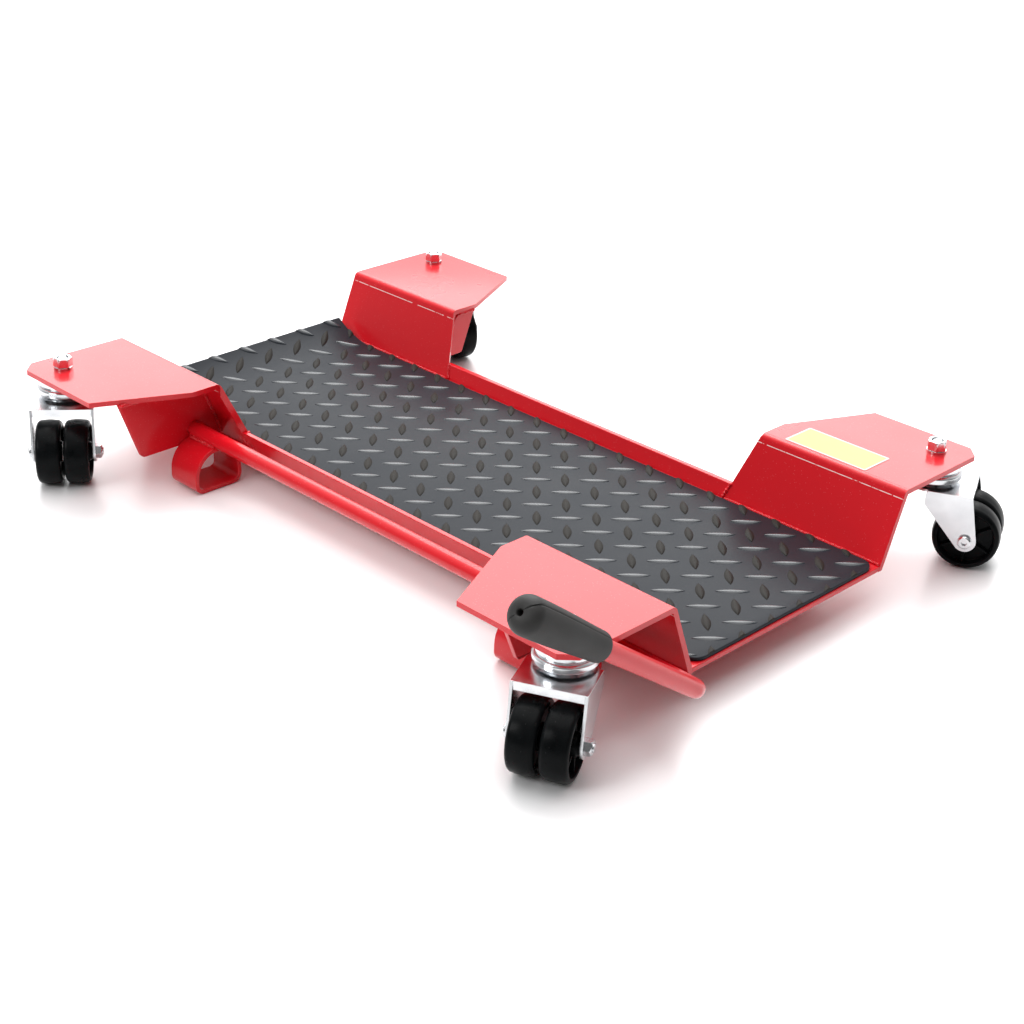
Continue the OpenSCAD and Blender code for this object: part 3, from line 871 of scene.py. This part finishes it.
def wheel_outline():
    """(radius, distance from the middle of the pair) round one wheel's section."""
    inner = 1.25 * MM
    outer = 20 * MM
    side = 3.4 * MM
    crown = 0.5 * MM
    bore = AXLE_R + 0.06 * MM
    rim = 20.3 * MM
    hub = 8 * MM
    edge = WHEEL_R - crown
    recess = 5.5 * MM
    points = [(bore, inner + 0.3 * MM), (bore + 0.4 * MM, inner), (hub - 0.5 * MM, inner)]
    points += [(hub, inner + 0.5 * MM), (hub + 1 * MM, inner + 3 * MM), (rim - 1.4 * MM, inner + 3 * MM)]
    points += [(rim - 0.4 * MM, inner + 0.6 * MM)]
    points += [(rim + 0.2 * MM, inner)] + arc(edge - side, inner + side, side, -84, 0, 7)
    for i in range(1, 6):
        t = i / 6
        points.append((edge + crown * math.sin(math.pi * t), inner + side + t * (outer - inner - 2 * side)))
    points += arc(edge - side, outer - side, side, 0, 84, 7)
    points += [(rim + 0.9 * MM, outer), (rim + 0.3 * MM, outer - 0.5 * MM), (rim - 0.4 * MM, outer - 4.8 * MM)]
    points += [(rim - 1.2 * MM, outer - recess), (hub + 1.3 * MM, outer - recess)]
    points += [(hub + 0.4 * MM, outer - 4.9 * MM)]
    points += [(hub - 0.5 * MM, outer - 0.4 * MM), (hub - 1 * MM, outer), (hub - 1.6 * MM, outer + 1.5 * MM)]
    points += [(bore + 0.5 * MM, outer + 1.5 * MM), (bore, outer + 1.1 * MM)]
    return points


def wheel_ribs(count=6):
    """Ribs across the outer recess of a wheel."""
    hub = 8.2 * MM
    rim = 20.2 * MM
    top = 17.9 * MM
    low = 14.2 * MM
    halves = {low: 0.9 * MM, top: 0.72 * MM}
    ribs = []
    for i in range(count):
        verts = [(x, side * halves[z], z) for x in (hub, rim) for side in (-1, 1) for z in (low, top)]
        faces = [(0, 1, 3, 2), (4, 6, 7, 5), (0, 4, 5, 1), (2, 3, 7, 6), (0, 2, 6, 4), (1, 5, 7, 3)]
        rib = face_outwards(object_from("rib", verts, faces))
        bevel(rib, 0.35 * MM, 2, 40)
        settle(rib)
        ribs.append(place(rib, Matrix.Rotation(2 * math.pi * i / count, 4, "Z")))
    return ribs


def axle_frame(corner, side):
    """Matrix with Z along the axle, from the middle of the fork to that side's wheel."""
    hinge = joint(f"spin_a_{corner}")
    z_axis = Vector(hinge["axis"]).normalized() * side
    x_axis = Vector((0, 0, 1))
    y_axis = z_axis.cross(x_axis)
    turn = Matrix((x_axis, y_axis, z_axis)).transposed().to_4x4()
    return Matrix.Translation(Vector(hinge["pos_m"])) @ turn


def caster_wheel(corner, letter, side):
    body = lathe("wheel body", wheel_outline(), 112)
    wheel = join_meshes(f"caster_wheel_{letter}_{corner}", [body] + wheel_ribs())
    place(wheel, axle_frame(corner, side))
    smooth(wheel, 38)
    node = f"wheel_{letter}_{corner}"
    return finish_piece(wheel, node, "wheel_plastic", WHEEL, node)


def threaded_stud(corner):
    """The swivel's stud: rivet head, shoulder, and a thread whose end shows inside the nut."""
    low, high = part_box("stud_" + corner)
    centre = (low + high) / 2
    stud_r = 4 * MM
    shoulder_r = 6 * MM
    head_r = 10 * MM
    shoulder_top = low.z + 10.5 * MM
    tip = high.z
    outline = [(0.01 * MM, low.z), (head_r - 0.7 * MM, low.z), (head_r, low.z + 0.7 * MM),
               (head_r, low.z + 1.6 * MM), (head_r - 0.4 * MM, low.z + 2 * MM), (shoulder_r, low.z + 2 * MM),
               (shoulder_r, shoulder_top), (stud_r, shoulder_top)]
    turns = 4
    start = tip - 0.9 * MM - turns * THREAD_PITCH
    for i in range(turns):
        z = start + i * THREAD_PITCH
        outline += [(stud_r, z), (stud_r, z + 0.15 * MM), (stud_r - THREAD_DEPTH, z + 0.55 * MM),
                    (stud_r - THREAD_DEPTH, z + 0.75 * MM), (stud_r, z + 1.1 * MM)]
    outline += [(stud_r, tip - 0.9 * MM), (stud_r - 0.9 * MM, tip), (0.01 * MM, tip)]
    stud = lathe("threaded_stud_" + corner, outline, 48)
    place(stud, Matrix.Translation((centre.x, centre.y, 0)))
    smooth(stud, 35)
    return finish_piece(stud, "frame", "bright_zinc", ZINC, "stud_" + corner)


def locking_nut(corner):
    """A hexagon nut with chamfered corners, turned faces and a countersunk mouth above the stud's end."""
    low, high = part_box("stud_nut_" + corner)
    centre = (low + high) / 2
    across = 6.5 * MM
    corner_r = across / math.cos(math.pi / 6)
    steps = 72
    rings = []
    heights = [(low.z, 0.94), (low.z + 0.5 * MM, 1.0), (high.z - 1.3 * MM, 1.0), (high.z - 0.5 * MM, 0.93),
               (high.z, 0.80)]
    for z, share in heights:
        ring = []
        for i in range(steps):
            a = 2 * math.pi * i / steps
            within = (a % (math.pi / 3)) - math.pi / 6
            flat = across / math.cos(within)
            r = min(flat, corner_r * share)
            ring.append((r * math.cos(a), r * math.sin(a), z))
        rings.append(ring)
    angles = [2 * math.pi * i / steps for i in range(steps)]
    for r, z in ((5.0, high.z), (4.5, high.z - 0.15 * MM), (4.15, high.z - 0.7 * MM), (4.1, low.z)):
        rings.append([(r * MM * math.cos(a), r * MM * math.sin(a), z) for a in angles])
    verts = [v for ring in rings for v in ring]
    faces = []
    count = len(rings)
    for k in range(count):
        faces += band(k, (k + 1) % count, steps)
    nut = face_outwards(object_from("locking_nut_" + corner, verts, faces))
    place(nut, Matrix.Translation((centre.x, centre.y, 0)))
    smooth(nut, 24)
    return finish_piece(nut, "frame", "bright_zinc", ZINC, "stud_nut_" + corner)


def caster_metal(corner):
    locking_nut(corner)
    for node, width in ((f"lock_washer_{corner}", 0.25), (f"bearing_cup_{corner}", 0.4)):
        finish_piece(smooth(softened(node, width * MM, 2, 35), 32), "frame", "bright_zinc", ZINC, node)
    swivel = f"swivel_{corner}"
    for node, width in ((f"fork_{corner}", 0.55), (f"axle_{corner}", 0.3), (f"axle_nut_{corner}", 0.3)):
        finish_piece(smooth(softened(node, width * MM, 3, 32), 32), swivel, "bright_zinc", ZINC, node)
    balls = frame["nodes"][f"bearing_balls_{corner}"]
    balls.data.materials.clear()
    balls.data.materials.append(BALLS)


# ---------------------------------------------------------------- label

def blank_label():
    size = label_high - label_low
    centre = (label_low + label_high) / 2
    film = prism("label_film", rounded_rectangle(size.x / 2, size.y / 2, 1.5 * MM), 0, size.z)
    place(film, Matrix.Translation((centre.x, centre.y, label_low.z)))
    return finish_piece(film, "frame", "label_film", LABEL, "blank_label")


# ---------------------------------------------------------------- studio

CAMERA_AT = Vector((923.7, -918.8, 649.1)) * MM
CAMERA_AZIMUTH = 44.18
CAMERA_ELEVATION = 26.66
CAMERA_ROLL = 2.10
CAMERA_LENS = 66.02


def studio_camera():
    data = bpy.data.cameras.new("camera")
    data.lens = CAMERA_LENS
    data.sensor_width = 36
    data.clip_start = 0.05
    camera = new_object("camera", data)
    azimuth = math.radians(CAMERA_AZIMUTH)
    turn = Matrix.Rotation(azimuth, 4, "Z") @ Matrix.Rotation(math.radians(90 - CAMERA_ELEVATION), 4, "X")
    camera.matrix_world = (Matrix.Translation(CAMERA_AT) @ turn
                           @ Matrix.Rotation(math.radians(CAMERA_ROLL), 4, "Z"))
    bpy.context.scene.camera = camera


def soft_box(name, at, size_x, size_y, power, aim=(0, 0, 0.05)):
    data = bpy.data.lights.new(name, "AREA")
    data.shape = "RECTANGLE"
    data.size = size_x
    data.size_y = size_y
    data.energy = power
    light = new_object(name, data)
    light.location = at
    light.rotation_euler = (Vector(aim) - Vector(at)).to_track_quat("-Z", "Y").to_euler()


# place, width, height and watts
SOFT_BOXES = {
    "top box": ((-0.05, 0.0, 1.9), 2.2, 2.2, 27),
    "back box": ((-1.28, 1.32, 1.14), 2.8, 0.95, 20),
    "high back box": ((-0.85, 0.89, 1.9), 1.8, 0.9, 28),
    "front box": ((-0.3, -2.0, 1.4), 0.8, 0.8, 16),
}
FLOOR_REACH = 6.0


def studio():
    scene = bpy.context.scene
    scene.view_settings.view_transform = "Standard"
    scene.view_settings.look = "None"
    world = bpy.data.worlds.new("studio")
    world.use_nodes = True
    scene.world = world
    tree = world.node_tree
    back = tree.nodes["Background"]
    where = tree.nodes.new("ShaderNodeTexCoord")
    split = tree.nodes.new("ShaderNodeSeparateXYZ")
    tree.links.new(where.outputs["Generated"], split.inputs["Vector"])
    behind = math_node(tree, "SUBTRACT", math_node(tree, "MULTIPLY", split.outputs["Y"], 0.72),
                       math_node(tree, "MULTIPLY", split.outputs["X"], 0.70))
    wall = spread(tree, behind, -0.2, 0.5, 0.11, 1.12)
    ceiling = spread(tree, split.outputs["Z"], 0.35, 0.9, 0.0, 0.4)
    tree.links.new(math_node(tree, "ADD", wall, ceiling), back.inputs["Strength"])
    back.inputs["Color"].default_value = (1, 1, 1, 1)
    for name, (at, size_x, size_y, power) in SOFT_BOXES.items():
        soft_box(name, at, size_x, size_y, power)
    corners = [(x * FLOOR_REACH, y * FLOOR_REACH, 0) for x, y in ((-1, -1), (1, -1), (1, 1), (-1, 1))]
    floor_mesh = bpy.data.meshes.new("floor")
    floor_mesh.from_pydata(corners, [], [(0, 1, 2, 3)])
    floor = new_object("floor", floor_mesh)
    finish = Finish("pale studio floor", (0.94, 0.94, 0.945), roughness=0.35)
    finish.set(Coat_Weight=0.5, Coat_Roughness=0.22)
    grain = finish.add_group(GRAIN, Fine_Scale=300.0, Broad_Scale=4.0)
    finish.mix(grain.outputs["Cloud"], (0.945, 0.945, 0.95), (0.93, 0.93, 0.935))
    floor.data.materials.append(finish.material)


# ---------------------------------------------------------------- assembly

studio_camera()
studio()
steelwork()
frame_welds()
brake_welds()
brake_rod()
rubber_grip()
ribbed_mat()
blank_label()
for corner_name in CORNERS:
    caster_metal(corner_name)
    threaded_stud(corner_name)
    caster_wheel(corner_name, "a", -1)
    caster_wheel(corner_name, "b", 1)
